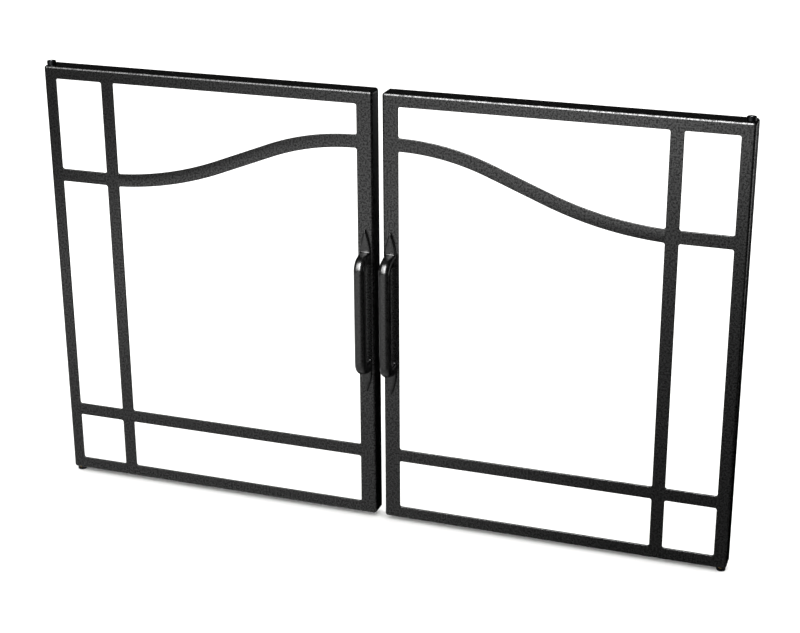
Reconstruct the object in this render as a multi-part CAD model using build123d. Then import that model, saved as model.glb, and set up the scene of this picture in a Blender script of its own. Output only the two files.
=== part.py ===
"""Pair of steel fireplace doors whose bars make an arch, drawn closed, in millimetres.

X runs across the pair from left to right, Y runs from the front face towards the fire, and Z is up.
The origin is midway between the leaves, in the plane of their front faces, at the lower ends of the
bottom pivot bushes. One leaf is drawn from its own corner (x from the outer edge, z from the underside),
moved to the left of the pair, and mirrored for the right.
"""

import os
from math import sqrt

from build123d import *

# The leaf: a frame of folded sheet sections with flat bars between them
LEAF_WIDTH = 426.0
LEAF_HEIGHT = 541.0
LEAF_DEPTH = 22.0
LEAF_GAP = 12.0
LEAF_LIFT = 5.0
SHEET = 2.0
FOLD_RADIUS = 3.0
OUTER_CORNER = 3.5
BAR = 15.5
MEETING_STILE = 19.5
SIDE_PANE = 61.5
LOWER_PANE = 62.5
UPPER_PANE = 114.0
WELD_FILLET = 2.5
EDGE_ROUND = 0.5

# The wave bar's centreline: straight, left bend up, straight, right bend level, straight
WAVE_WIDTH = 16.0
WAVE_END = 480.8
WAVE_FIRST_BEND = (74.0, 4.6)
WAVE_SECOND_BEND = (61.5, 1.8)
WAVE_RADII = (425.0, 298.0)

# The pull handle: its grip, bent legs and spear-shaped pads
GRIP_WIDTH = 13.5
GRIP_DEPTH = 14.0
GRIP_CORNER = 5.5
GRIP_STAND_OFF = 21.5
GRIP_BEND = 11.0
LEG_SPACING = 138.0
PAD_WIDTH = 14.0
PAD_THICKNESS = 3.5
PAD_ROUND = 1.2
PAD_ROOT = 60.0
PAD_SHOULDER = 72.0
PAD_TIP = 104.0
RIDGE_RADIUS = 1.4
RIDGE_HEIGHT = 78.5
RIDGE_DROP = 3.5

# The handle's fasteners: pan-head M4 screws with washers
SCREW_RADIUS = 2.0
SCREW_DEPTH = 8.0
SCREW_HEAD_RADIUS = 4.0
SCREW_HEAD_HEIGHT = 2.6
SCREW_SLOT = (5.0, 1.0, 1.2)
SCREW_HOLE = 2.25
TAPPED_HOLE = 2.05
TAPPED_DEPTH = 10.0
WASHER_RADIUS = 4.5
WASHER_THICKNESS = 0.8

# The pivots: one upright axis near each leaf's outer front corner
PIVOT_INSET = 7.0
PIVOT_BACK = 8.0
PIN_RADIUS = 2.5
PIN_DOME = 0.8
BUSH_RADIUS = 5.5
BUSH_BORE = 2.55
BUSH_HEIGHT = 4.2
BUSH_CHAMFER = 0.4
TOP_BUSH_GAP = 0.6
TOP_PIN_HOLE = 2.7
PIN_PROUD = 0.3
BOTTOM_HEAD_RADIUS = 3.5
BOTTOM_HEAD_HEIGHT = 3.0
THRUST_WASHER_RADIUS = 5.0

# The sprung top pin: it slides down in its guide bracket
BRACKET_DROP = 36.0
BRACKET_SHEET = 1.2
BRACKET_TAB = (9.0, 14.0)
BRACKET_EYE = 3.8
BRACKET_HOLE = 2.6
CLIP_RADIUS = 3.7
CLIP_THICKNESS = 1.2
CLIP_GAP = 0.3
SPRING_WIRE = 0.45
SPRING_RADIUS = 3.2
SPRING_TURNS = 8
KNOB_RADIUS = 3.5
KNOB_HEIGHT = 8.0
KNOB_GAP = 2.0
KNOB_GROOVE = 0.6

# Edges of the columns and rows that the bars leave, in the leaf's own x and z
SIDE_LEFT = BAR
SIDE_RIGHT = SIDE_LEFT + SIDE_PANE
MAIN_LEFT = SIDE_RIGHT + BAR
MAIN_RIGHT = LEAF_WIDTH - MEETING_STILE
LOW_BOTTOM = BAR
LOW_TOP = LOW_BOTTOM + LOWER_PANE
MIDDLE_BOTTOM = LOW_TOP + BAR
TOP_TOP = LEAF_HEIGHT - BAR
TOP_BOTTOM = TOP_TOP - UPPER_PANE
MIDDLE_TOP = TOP_BOTTOM - BAR
HANDLE_X = LEAF_WIDTH - MEETING_STILE / 2
HANDLE_Z = LEAF_HEIGHT / 2


def block(left, right, low, high, front=0.0, back=LEAF_DEPTH):
    """Rectangular block between the given x, z and y limits."""
    centre = Pos((left + right) / 2, (front + back) / 2, (low + high) / 2)
    return centre * Box(right - left, back - front, high - low)


def along_y(outline, front, back):
    """Outline drawn in x and z, extruded from y = back forward to y = front."""
    return extrude(Plane.XZ.offset(-back) * outline, back - front)


def pane(left, right, low, high):
    """Outline of one four-sided pane with small weld fillets in its corners."""
    middle = Pos((left + right) / 2, (low + high) / 2)
    outline = middle * Rectangle(right - left, high - low)
    return fillet(outline.vertices(), WELD_FILLET)


def wave_band():
    """Outline of the wave bar, running a little way into the bars at its two ends."""
    start = Vector(MAIN_LEFT, (MIDDLE_TOP + TOP_BOTTOM) / 2)
    first = start + Vector(*WAVE_FIRST_BEND)
    end = Vector(MAIN_RIGHT, WAVE_END)
    second = end - Vector(*WAVE_SECOND_BEND)
    before = start - (first - start).normalized() * BAR
    after = end + (end - second).normalized() * MEETING_STILE
    centreline = FilletPolyline(before, first, second, after, radius=WAVE_RADII)
    return trace(centreline, line_width=WAVE_WIDTH)


def arched_panes(band):
    """Outlines of the two panes that the wave bar leaves, with weld fillets in their corners."""
    middle = Pos((MAIN_LEFT + MAIN_RIGHT) / 2, (MIDDLE_BOTTOM + TOP_TOP) / 2)
    whole = middle * Rectangle(MAIN_RIGHT - MAIN_LEFT, TOP_TOP - MIDDLE_BOTTOM)
    clear = whole - band
    columns = clear.vertices().group_by(Axis.X)
    return fillet([*columns[0], *columns[-1]], WELD_FILLET)


def folded_pan():
    """Sheet face with a flange folded back along all four edges, before the panes are cut."""
    outer = block(0, LEAF_WIDTH, 0, LEAF_HEIGHT)
    outer = fillet(outer.edges().filter_by(Axis.Y), OUTER_CORNER)
    outer = fillet(outer.faces().sort_by(Axis.Y)[0].edges(), FOLD_RADIUS)
    inner = block(SHEET, LEAF_WIDTH - SHEET, SHEET, LEAF_HEIGHT - SHEET, SHEET, LEAF_DEPTH + SHEET)
    inner = fillet(inner.edges().filter_by(Axis.Y), OUTER_CORNER - SHEET)
    inner = fillet(inner.faces().sort_by(Axis.Y)[0].edges(), FOLD_RADIUS - SHEET)
    return outer - inner


def leaf_blank(band):
    """Welded frame of one leaf as a single shape, with its panes open and their front edges eased."""
    panes = [
        pane(SIDE_LEFT, SIDE_RIGHT, LOW_BOTTOM, LOW_TOP),
        pane(SIDE_LEFT, SIDE_RIGHT, MIDDLE_BOTTOM, MIDDLE_TOP),
        pane(SIDE_LEFT, SIDE_RIGHT, TOP_BOTTOM, TOP_TOP),
        pane(MAIN_LEFT, MAIN_RIGHT, LOW_BOTTOM, LOW_TOP),
        arched_panes(band),
    ]
    blank = folded_pan()
    for outline in panes:
        blank -= along_y(outline, -SHEET, 2 * SHEET)
    face = blank.faces().filter_by(Axis.Y).sort_by(Axis.Y)[0]
    rims = [edge for wire in face.inner_wires() for edge in wire.edges()]
    return fillet(rims, EDGE_ROUND)


def frame_members(blank, band):
    """The welded blank taken apart into its stiles, rails, bars and weld fillets."""
    fold_low = OUTER_CORNER
    fold_high = LEAF_HEIGHT - OUTER_CORNER
    top_rail = block(0, LEAF_WIDTH, fold_high, LEAF_HEIGHT)
    top_rail += block(SIDE_LEFT, MAIN_RIGHT, TOP_TOP, LEAF_HEIGHT)
    bottom_rail = block(0, LEAF_WIDTH, 0, fold_low)
    bottom_rail += block(SIDE_LEFT, MAIN_RIGHT, 0, LOW_BOTTOM)
    wave_column = block(MAIN_LEFT, MAIN_RIGHT, MIDDLE_BOTTOM, TOP_TOP)
    wave = along_y(band, 0, LEAF_DEPTH) & wave_column
    zones = {
        "hinge_stile": block(0, SIDE_LEFT, fold_low, fold_high),
        "meeting_stile": block(MAIN_RIGHT, LEAF_WIDTH, fold_low, fold_high),
        "top_rail": top_rail,
        "bottom_rail": bottom_rail,
        "muntin": block(SIDE_RIGHT, MAIN_LEFT, LOW_BOTTOM, TOP_TOP),
        "upper_side_bar": block(SIDE_LEFT, SIDE_RIGHT, MIDDLE_TOP, TOP_BOTTOM),
        "lower_side_bar": block(SIDE_LEFT, SIDE_RIGHT, LOW_TOP, MIDDLE_BOTTOM),
        "lower_main_bar": block(MAIN_LEFT, MAIN_RIGHT, LOW_TOP, MIDDLE_BOTTOM),
        "wave_bar": wave,
    }
    members = {name: blank & zone for name, zone in zones.items()}
    clear_spaces = block(SIDE_LEFT, SIDE_RIGHT, LOW_BOTTOM, LOW_TOP)
    clear_spaces += block(SIDE_LEFT, SIDE_RIGHT, MIDDLE_BOTTOM, MIDDLE_TOP)
    clear_spaces += block(SIDE_LEFT, SIDE_RIGHT, TOP_BOTTOM, TOP_TOP)
    clear_spaces += block(MAIN_LEFT, MAIN_RIGHT, LOW_BOTTOM, LOW_TOP)
    clear_spaces += wave_column - wave
    members["corner_welds"] = blank & clear_spaces
    return members


def upright(radius, low, high):
    """Cylinder on the pivot axis between two heights."""
    return Pos(PIVOT_INSET, PIVOT_BACK, (low + high) / 2) * Cylinder(radius, high - low)


def spear_pad():
    """Upper pad of the handle: straight sides that close in to a point, with rounded front edges."""
    half = PAD_WIDTH / 2
    length = PAD_TIP - PAD_SHOULDER
    side_radius = (length**2 + half**2) / (2 * half)
    half_way = half - side_radius + sqrt(side_radius**2 - (length / 2) ** 2)
    middle = PAD_SHOULDER + length / 2
    sides = Polyline((-half, PAD_SHOULDER), (-half, PAD_ROOT), (half, PAD_ROOT), (half, PAD_SHOULDER))
    right_arc = ThreePointArc((half, PAD_SHOULDER), (half_way, middle), (0, PAD_TIP))
    left_arc = ThreePointArc((0, PAD_TIP), (-half_way, middle), (-half, PAD_SHOULDER))
    pad = along_y(make_face([sides, right_arc, left_arc]), -PAD_THICKNESS, 0)
    front_edges = pad.faces().sort_by(Axis.Y)[0].edges()
    return fillet(front_edges, PAD_ROUND)


def handle_ridge():
    """Raised rib, bowed upwards, across the pad where the leg grows out of it."""
    half = PAD_WIDTH / 2 - RIDGE_RADIUS
    depth = -PAD_THICKNESS
    low = RIDGE_HEIGHT - RIDGE_DROP
    path = ThreePointArc((-half, depth, low), (0, depth, RIDGE_HEIGHT), (half, depth, low))
    return sweep(Plane(path @ 0, z_dir=path % 0) * Circle(RIDGE_RADIUS), path=path)


def handle():
    """Cast pull with a pad at each end and a rounded grip standing off on two bent legs."""
    leg = LEG_SPACING / 2
    root = -PAD_THICKNESS / 2
    path = FilletPolyline(
        (0, root, leg),
        (0, -GRIP_STAND_OFF, leg),
        (0, -GRIP_STAND_OFF, -leg),
        (0, root, -leg),
        radius=GRIP_BEND,
    )
    section = RectangleRounded(GRIP_WIDTH, GRIP_DEPTH, GRIP_CORNER)
    start = Plane((0, root, leg), x_dir=(1, 0, 0), z_dir=(0, -1, 0))
    pull = sweep(start * section, path=path)
    for feature in (spear_pad(), handle_ridge()):
        pull += feature
        pull += mirror(feature, about=Plane.XY)
    for height in (leg, -leg):
        pull -= along_y(Pos(0, height) * Circle(TAPPED_HOLE), -TAPPED_DEPTH, 0)
    return Pos(HANDLE_X, 0, HANDLE_Z) * pull


def at_both_legs(piece):
    """Copies of a fastener at the handle's two legs."""
    leg = LEG_SPACING / 2
    return Compound([Pos(HANDLE_X, 0, HANDLE_Z + height) * piece for height in (leg, -leg)])


def handle_washer():
    """Flat washer behind the meeting stile's face."""
    return along_y(Circle(WASHER_RADIUS) - Circle(SCREW_HOLE), SHEET, SHEET + WASHER_THICKNESS)


def handle_screw():
    """Slotted pan-head screw that goes forward through the stile into the handle's leg."""
    seat = SHEET + WASHER_THICKNESS
    top = seat + SCREW_HEAD_HEIGHT
    head = along_y(Circle(SCREW_HEAD_RADIUS), seat, top)
    head = fillet(head.faces().sort_by(Axis.Y)[-1].edges(), SCREW_HEAD_HEIGHT / 2)
    slot_length, slot_width, slot_depth = SCREW_SLOT
    for width, height in ((slot_length, slot_width), (slot_width, slot_length)):
        head -= along_y(Rectangle(width, height), top - slot_depth, top)
    return head + along_y(Circle(SCREW_RADIUS), -SCREW_DEPTH, seat)


def domed_pin(low, high):
    """Pivot pin with a rounded upper end."""
    pin = upright(PIN_RADIUS, low, high)
    return fillet(pin.edges().sort_by(Axis.Z)[-1], PIN_DOME)


def bush(low, outer_end):
    """Plain bush on the pivot axis, chamfered at its outer end (0 is the top, -1 the bottom)."""
    body = upright(BUSH_RADIUS, low, low + BUSH_HEIGHT)
    rims = body.edges().filter_by(GeomType.CIRCLE).sort_by(Axis.Z)
    body = chamfer(rims[outer_end], BUSH_CHAMFER)
    return body - upright(BUSH_BORE, low, low + BUSH_HEIGHT)


def pin_bracket():
    """Bracket with a tab against the stile's flange and a shelf with an eye for the sprung pin."""
    shelf_low = LEAF_HEIGHT - BRACKET_DROP
    shelf_high = shelf_low + BRACKET_SHEET
    tab_width, tab_height = BRACKET_TAB
    tab_front = PIVOT_BACK - tab_width / 2
    tab = block(
        SHEET, SHEET + BRACKET_SHEET, shelf_low, shelf_low + tab_height, tab_front, tab_front + tab_width
    )
    eye_front = PIVOT_BACK - BRACKET_EYE
    shelf = block(SHEET, PIVOT_INSET, shelf_low, shelf_high, eye_front, eye_front + 2 * BRACKET_EYE)
    shelf += upright(BRACKET_EYE, shelf_low, shelf_high)
    shelf -= upright(BRACKET_HOLE, shelf_low, shelf_high)
    return tab + shelf


def pin_clip():
    """Split retaining ring on the pin, just under the top flange."""
    high = LEAF_HEIGHT - SHEET - CLIP_GAP
    low = high - CLIP_THICKNESS
    ring = upright(CLIP_RADIUS, low, high) - upright(PIN_RADIUS, low, high)
    half_slot = CLIP_THICKNESS
    slot = block(PIVOT_INSET - half_slot, PIVOT_INSET + half_slot, low, high, PIVOT_BACK)
    return ring - slot


def pin_spring():
    """Coil spring round the pin, from the bracket's shelf up to the clip."""
    low = LEAF_HEIGHT - BRACKET_DROP + BRACKET_SHEET + SPRING_WIRE
    high = LEAF_HEIGHT - SHEET - CLIP_GAP - CLIP_THICKNESS - SPRING_WIRE
    rise = high - low
    path = Helix(pitch=rise / SPRING_TURNS, height=rise, radius=SPRING_RADIUS)
    coil = sweep(Plane(path @ 0, z_dir=path % 0) * Circle(SPRING_WIRE), path=path)
    return Pos(PIVOT_INSET, PIVOT_BACK, low) * coil


def pin_knob():
    """Small grooved knob on the pin's lower end, for pulling it down."""
    high = LEAF_HEIGHT - BRACKET_DROP - KNOB_GAP
    low = high - KNOB_HEIGHT
    middle = (low + high) / 2
    body = upright(KNOB_RADIUS, low, high)
    body = fillet(body.edges().filter_by(GeomType.CIRCLE), KNOB_GROOVE)
    groove = upright(KNOB_RADIUS, middle - KNOB_GROOVE, middle + KNOB_GROOVE)
    groove -= upright(KNOB_RADIUS - KNOB_GROOVE, middle - KNOB_GROOVE, middle + KNOB_GROOVE)
    return body - groove - upright(PIN_RADIUS, middle, high)


def top_pin():
    """Sprung pivot pin, from inside its knob up through the top bush."""
    low = LEAF_HEIGHT - BRACKET_DROP - KNOB_GAP - KNOB_HEIGHT / 2
    return domed_pin(low, LEAF_HEIGHT + TOP_BUSH_GAP + BUSH_HEIGHT + PIN_PROUD)


def bottom_pin():
    """Headed pivot pin that hangs through the bottom flange into the bottom bush."""
    shank = upright(PIN_RADIUS, -LEAF_LIFT + PIN_PROUD, SHEET)
    shank = fillet(shank.edges().filter_by(GeomType.CIRCLE).sort_by(Axis.Z)[0], PIN_DOME)
    return shank + upright(BOTTOM_HEAD_RADIUS, SHEET, SHEET + BOTTOM_HEAD_HEIGHT)


def bottom_washer():
    """Thrust washer between the leaf's underside and the bottom bush."""
    low = -LEAF_LIFT + BUSH_HEIGHT
    return upright(THRUST_WASHER_RADIUS, low, 0) - upright(BUSH_BORE, low, 0)


def leaf_pieces():
    """Every piece of one leaf and its two bushes, by name."""
    band = wave_band()
    pieces = frame_members(leaf_blank(band), band)
    leg = LEG_SPACING / 2
    for height in (leg, -leg):
        hole = Pos(HANDLE_X, HANDLE_Z + height) * Circle(SCREW_HOLE)
        pieces["meeting_stile"] -= along_y(hole, -SHEET, 2 * SHEET)
    pieces["top_rail"] -= upright(TOP_PIN_HOLE, LEAF_HEIGHT - 2 * SHEET, LEAF_HEIGHT + SHEET)
    pieces["bottom_rail"] -= upright(PIN_RADIUS, -SHEET, SHEET)
    pieces["handle"] = handle()
    pieces["handle_screws"] = at_both_legs(handle_screw())
    pieces["handle_washers"] = at_both_legs(handle_washer())
    pieces["pin_bracket"] = pin_bracket()
    pieces["top_pin"] = top_pin()
    pieces["pin_spring"] = pin_spring()
    pieces["pin_clip"] = pin_clip()
    pieces["pin_knob"] = pin_knob()
    pieces["bottom_pin"] = bottom_pin()
    pieces["bottom_washer"] = bottom_washer()
    pieces["top_bush"] = bush(LEAF_HEIGHT + TOP_BUSH_GAP, -1)
    pieces["bottom_bush"] = bush(-LEAF_LIFT, 0)
    return pieces


def main():
    """Write both leaves' pieces, one STEP file for each."""
    os.makedirs("parts", exist_ok=True)
    to_left = Pos(-LEAF_WIDTH - LEAF_GAP / 2, 0, LEAF_LIFT)
    for name, piece in leaf_pieces().items():
        left = to_left * piece
        export_step(left, f"parts/left_{name}.step")
        export_step(mirror(left, about=Plane.YZ), f"parts/right_{name}.step")


main()
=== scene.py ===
"""A pair of arched fireplace doors in black powder-coated steel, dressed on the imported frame."""

import enum
import logging
import math
from collections.abc import Iterable, Sequence
from dataclasses import dataclass, field

import bmesh
import bpy
from mathutils import Matrix, Vector


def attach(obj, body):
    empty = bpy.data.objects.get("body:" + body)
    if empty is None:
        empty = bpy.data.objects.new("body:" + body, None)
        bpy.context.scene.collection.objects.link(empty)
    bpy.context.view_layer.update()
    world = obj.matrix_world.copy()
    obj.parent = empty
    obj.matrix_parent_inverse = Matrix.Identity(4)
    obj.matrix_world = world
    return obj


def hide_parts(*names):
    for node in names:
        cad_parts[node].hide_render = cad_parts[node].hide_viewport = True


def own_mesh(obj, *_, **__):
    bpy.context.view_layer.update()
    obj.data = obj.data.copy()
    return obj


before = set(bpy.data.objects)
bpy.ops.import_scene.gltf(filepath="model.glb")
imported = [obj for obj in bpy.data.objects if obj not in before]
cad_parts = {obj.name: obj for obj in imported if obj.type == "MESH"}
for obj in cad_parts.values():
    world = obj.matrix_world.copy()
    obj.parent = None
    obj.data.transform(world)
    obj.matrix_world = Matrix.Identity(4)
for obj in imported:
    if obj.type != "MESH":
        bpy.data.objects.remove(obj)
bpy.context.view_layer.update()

log = logging.getLogger("fireplace_doors")

MM = 0.001
REARWARD = Vector((0, 1, 0))
NEARLY_ROUND = 0.98

Point = tuple[float, float, float]


class Side(enum.Enum):
    """Which of the two mirrored leaves a piece belongs to."""

    LEFT = -1
    RIGHT = 1

    @property
    def prefix(self) -> str:
        """Start of the names of this side's pieces."""
        return self.name.lower() + "_"

    def at(self, out: float, back: float, high: float) -> Point:
        """Point in metres, from millimetres out from the middle, behind the front face, and up."""
        return (self.value * out * MM, back * MM, high * MM)


# ---------------------------------------------------------------------------------------------
# Nodes and meshes


def hex_to_linear(code: str) -> tuple[float, float, float, float]:
    """Turn an sRGB hex colour into the linear colour a shader takes.

    Args:
        code: six hex digits with a leading #.

    Returns:
        Red, green, blue and an alpha of 1.
    """
    parts = [int(code[i : i + 2], 16) / 255 for i in (1, 3, 5)]
    linear = [c / 12.92 if c <= 0.04045 else ((c + 0.055) / 1.055) ** 2.4 for c in parts]
    return (linear[0], linear[1], linear[2], 1.0)


def add_node(
    tree: bpy.types.NodeTree,
    kind: str,
    settings: dict[str | int, object] | None = None,
    links: dict[str | int, bpy.types.NodeSocket] | None = None,
) -> bpy.types.Node:
    """Add one node to a tree.

    Args:
        tree: the tree that gets the node.
        kind: the node's type.
        settings: values by the name or number of an input, or by the name of an option.
        links: the output that feeds each input, by the input's name or number.

    Returns:
        The new node.
    """
    node = tree.nodes.new(kind)
    for key, value in (settings or {}).items():
        if isinstance(key, int) or key in node.inputs:
            node.inputs[key].default_value = value
        else:
            setattr(node, key, value)
    for key, socket in (links or {}).items():
        tree.links.new(socket, node.inputs[key])
    return node


def evaluated_mesh(obj: bpy.types.Object) -> bpy.types.Mesh:
    """Freeze what an object's modifiers make.

    Args:
        obj: the object whose modifiers are run.

    Returns:
        A plain mesh with the result.
    """
    bpy.context.view_layer.update()
    graph = bpy.context.evaluated_depsgraph_get()
    return bpy.data.meshes.new_from_object(obj.evaluated_get(graph))


def new_object(name: str, mesh: bpy.types.Mesh) -> bpy.types.Object:
    """Put a mesh into the scene as an object at the origin.

    Args:
        name: the object's name, which its mesh takes too.
        mesh: the mesh to show.

    Returns:
        The new object.
    """
    mesh.name = name
    obj = bpy.data.objects.new(name, mesh)
    bpy.context.scene.collection.objects.link(obj)
    return obj


def discard(obj: bpy.types.Object) -> None:
    """Remove a helper object from the scene."""
    bpy.data.objects.remove(obj)


def mesh_from_bmesh(work: bmesh.types.BMesh, name: str) -> bpy.types.Mesh:
    """Clean a bmesh and store it.

    Args:
        work: the bmesh, which is freed.
        name: the mesh's name.

    Returns:
        The stored mesh, with its doubles merged and its faces turned outwards.
    """
    bmesh.ops.remove_doubles(work, verts=work.verts[:], dist=1e-6)
    bmesh.ops.recalc_face_normals(work, faces=work.faces[:])
    mesh = bpy.data.meshes.new(name)
    work.to_mesh(mesh)
    work.free()
    return mesh


def joined(meshes: Iterable[bpy.types.Mesh], name: str) -> bpy.types.Mesh:
    """Join several meshes as loose shells of one mesh.

    Args:
        meshes: the meshes to join.
        name: the new mesh's name.

    Returns:
        The joined mesh.
    """
    work = bmesh.new()
    for mesh in meshes:
        work.from_mesh(mesh)
    return mesh_from_bmesh(work, name)


def loft(rings: Sequence[Sequence[Point]], name: str) -> bpy.types.Mesh:
    """Skin a row of closed rings and cap the two ends.

    Args:
        rings: the rings in order, each with the same number of points.
        name: the mesh's name.

    Returns:
        The closed mesh.
    """
    work = bmesh.new()
    rows = [[work.verts.new(p) for p in ring] for ring in rings]
    count = len(rows[0])
    for low, high in zip(rows, rows[1:]):
        for i in range(count):
            j = (i + 1) % count
            work.faces.new((low[i], low[j], high[j], high[i]))
    work.faces.new(rows[0])
    work.faces.new(rows[-1])
    return mesh_from_bmesh(work, name)


def turned(profile: Sequence[tuple[float, float]], segments: int, name: str) -> bpy.types.Mesh:
    """Turn a profile about the Z axis into a closed solid.

    Args:
        profile: radius and height of each corner in millimetres, from the axis out and back to the axis.
        segments: how many sides the turned piece has.
        name: the mesh's name.

    Returns:
        The turned mesh, in metres.
    """
    rings = [
        [
            (
                radius * MM * math.cos(math.tau * i / segments),
                radius * MM * math.sin(math.tau * i / segments),
                height * MM,
            )
            for i in range(segments)
        ]
        for radius, height in profile
    ]
    return loft(rings, name)


def rest_on(
    obj: bpy.types.Object,
    body: str,
    stands_for: Sequence[str] = (),
    crease_degrees: float = 30.0,
) -> bpy.types.Object:
    """Finish a piece: shade it, tie it to a body, and hide the CAD nodes that it stands for.

    Args:
        obj: the finished piece.
        body: the CAD body that it moves with.
        stands_for: the CAD nodes that it stands for.
        crease_degrees: edges sharper than this stay crisp.

    Returns:
        The same piece.
    """
    obj.data.shade_smooth()
    obj.data.set_sharp_from_angle(angle=math.radians(crease_degrees))
    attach(obj, body)
    if stands_for:
        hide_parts(*stands_for)
    log.info("%s rides on %s, %d faces", obj.name, body, len(obj.data.polygons))
    return obj


# ---------------------------------------------------------------------------------------------
# Finishes


@dataclass(frozen=True)
class Finish:
    """A surface with a slow mottle in its colour and a fine grain in its gloss and relief."""

    name: str
    dark: str
    light: str
    gloss: tuple[float, float]
    grain_mm: float
    grain_depth_mm: float
    mottle_mm: float = 40.0
    metallic: float = 0.0
    grain_stretch: Point = (1.0, 1.0, 1.0)
    fineness: float = 0.55

    def noise(
        self, tree: bpy.types.NodeTree, place: bpy.types.NodeSocket, size_mm: float, detail: float
    ) -> bpy.types.NodeSocket:
        """Add a noise whose features have a real size.

        Args:
            tree: the material's tree.
            place: the coordinates it reads, in metres.
            size_mm: the size of its features.
            detail: how many finer layers it has.

        Returns:
            The noise, from 0 to 1.
        """
        settings = {"Scale": 1 / (size_mm * MM), "Detail": detail, "Roughness": self.fineness}
        return add_node(tree, "ShaderNodeTexNoise", settings, {"Vector": place}).outputs["Fac"]

    def relief(self, tree: bpy.types.NodeTree, place: bpy.types.NodeSocket) -> bpy.types.NodeSocket:
        """Fine height of the surface, from 0 to 1."""
        return self.noise(tree, place, self.grain_mm, 2.0)

    def tint(self, tree: bpy.types.NodeTree, place: bpy.types.NodeSocket) -> bpy.types.NodeSocket:
        """Share of the lighter colour over the surface, from 0 to 1."""
        return self.noise(tree, place, self.mottle_mm, 3.0)

    def layers(
        self, tree: bpy.types.NodeTree, surface: bpy.types.Node, tint: bpy.types.NodeSocket
    ) -> None:
        """Layers over the plain surface, which most finishes don't have."""

    def make(self) -> bpy.types.Material:
        """Build the material.

        Returns:
            The material, whose pattern follows each piece's own coordinates.
        """
        material = bpy.data.materials.new(self.name)
        material.use_nodes = True
        tree = material.node_tree
        tree.nodes.clear()
        coordinates = add_node(tree, "ShaderNodeTexCoord")
        mapping = add_node(
            tree,
            "ShaderNodeMapping",
            {"Scale": self.grain_stretch},
            {"Vector": coordinates.outputs["Object"]},
        )
        place = mapping.outputs["Vector"]
        height = self.relief(tree, place)
        tint = self.tint(tree, place)
        colour = add_node(
            tree,
            "ShaderNodeMix",
            {"data_type": "RGBA", 6: hex_to_linear(self.dark), 7: hex_to_linear(self.light)},
            {0: tint},
        )
        gloss = add_node(
            tree,
            "ShaderNodeMapRange",
            {"To Min": self.gloss[0], "To Max": self.gloss[1]},
            {"Value": height},
        )
        bump = add_node(
            tree,
            "ShaderNodeBump",
            {"Strength": 1.0, "Distance": self.grain_depth_mm * MM},
            {"Height": height},
        )
        surface = add_node(
            tree,
            "ShaderNodeBsdfPrincipled",
            {"Metallic": self.metallic},
            {
                "Base Color": colour.outputs[2],
                "Roughness": gloss.outputs["Result"],
                "Normal": bump.outputs["Normal"],
            },
        )
        self.layers(tree, surface, tint)
        add_node(tree, "ShaderNodeOutputMaterial", links={"Surface": surface.outputs["BSDF"]})
        return material


@dataclass(frozen=True)
class PowderCoat(Finish):
    """Baked powder paint, sprayed dry and melted: soft sheen, pebbled skin and a speckled black."""

    skin: tuple[float, float] = (0.18, 1.0)
    skin_roughness: float = 0.24
    core_specular: float = 0.1
    speckle_mm: float = 2.2
    peel_mm: float = 5.0
    peel_share: float = 0.35
    speckle_edges: tuple[float, float] = (0.36, 0.60)

    def relief(self, tree: bpy.types.NodeTree, place: bpy.types.NodeSocket) -> bpy.types.NodeSocket:
        """Fine grain of the melted powder, over the slower orange peel that spraying leaves."""
        fine = self.noise(tree, place, self.grain_mm, 2.0)
        peel = self.noise(tree, place, self.peel_mm, 1.0)
        both = add_node(
            tree, "ShaderNodeMix", {"data_type": "FLOAT", 0: self.peel_share}, {2: fine, 3: peel}
        )
        return both.outputs[0]

    def tint(self, tree: bpy.types.NodeTree, place: bpy.types.NodeSocket) -> bpy.types.NodeSocket:
        """Speckle of the paint, with the contrast of single grains."""
        speckle = self.noise(tree, place, self.speckle_mm, 3.0)
        low, high = self.speckle_edges
        sharper = add_node(
            tree,
            "ShaderNodeMapRange",
            {"interpolation_type": "SMOOTHSTEP", "From Min": low, "From Max": high},
            {"Value": speckle},
        )
        return sharper.outputs["Result"]

    def layers(
        self, tree: bpy.types.NodeTree, surface: bpy.types.Node, tint: bpy.types.NodeSocket
    ) -> None:
        """Melted skin over the dull pigment: it closes over fully at some grains and less at others.

        Args:
            tree: the material's tree.
            surface: the paint's shader.
            tint: share of the lighter colour, where the skin is fullest.
        """
        surface.inputs["Specular IOR Level"].default_value = self.core_specular
        surface.inputs["Coat Roughness"].default_value = self.skin_roughness
        skin = add_node(
            tree,
            "ShaderNodeMapRange",
            {"To Min": self.skin[0], "To Max": self.skin[1]},
            {"Value": tint},
        )
        tree.links.new(skin.outputs["Result"], surface.inputs["Coat Weight"])


@dataclass(frozen=True)
class PlatedSteel(Finish):
    """Electroplated steel: bright, with a slight cloud where the plating is thicker."""

    def tint(self, tree: bpy.types.NodeTree, place: bpy.types.NodeSocket) -> bpy.types.NodeSocket:
        """Patches of the plating's crystals."""
        settings = {"Scale": 1 / (self.mottle_mm * MM), "feature": "SMOOTH_F1"}
        patches = add_node(tree, "ShaderNodeTexVoronoi", settings, {"Vector": place})
        return patches.outputs["Distance"]


@dataclass(frozen=True)
class SweepPaper(Finish):
    """Matte white studio paper."""


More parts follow.
